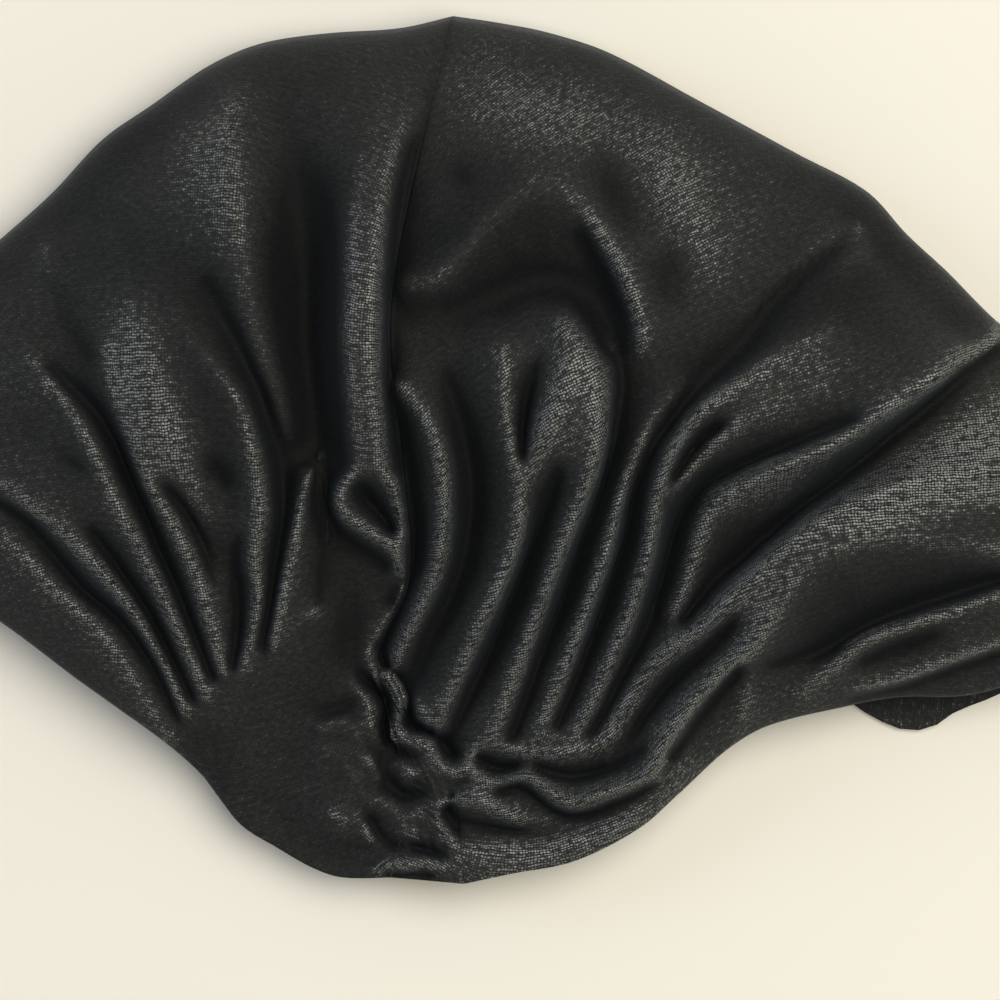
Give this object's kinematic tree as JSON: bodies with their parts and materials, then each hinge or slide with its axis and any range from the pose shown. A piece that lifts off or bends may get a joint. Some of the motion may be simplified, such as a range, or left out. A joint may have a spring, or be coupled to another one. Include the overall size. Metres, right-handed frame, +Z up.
{
  "type": "turban cap with a gathered front",
  "caption": "Soft black cloth turban cap lying front up, its folds fanning over the crown from a short gathered strip at the brow; the rim is open for the head.",
  "frame": {"origin": "middle of the footprint, on the surface that the cap lies on", "axes": "+X to the wearer's left along the rim, +Y from the rim to the crown, +Z up through the front of the cap"},
  "size_m": [0.274, 0.1747, 0.0391],
  "materials": {
    "black_cloth": "black plain-woven cloth with slubs in its threads and a slightly waxed sheen"
  },
  "bodies": {
    "root": {"left_panel": "black_cloth", "right_panel": "black_cloth", "front_ruche": "black_cloth"}
  },
  "joints": []
}
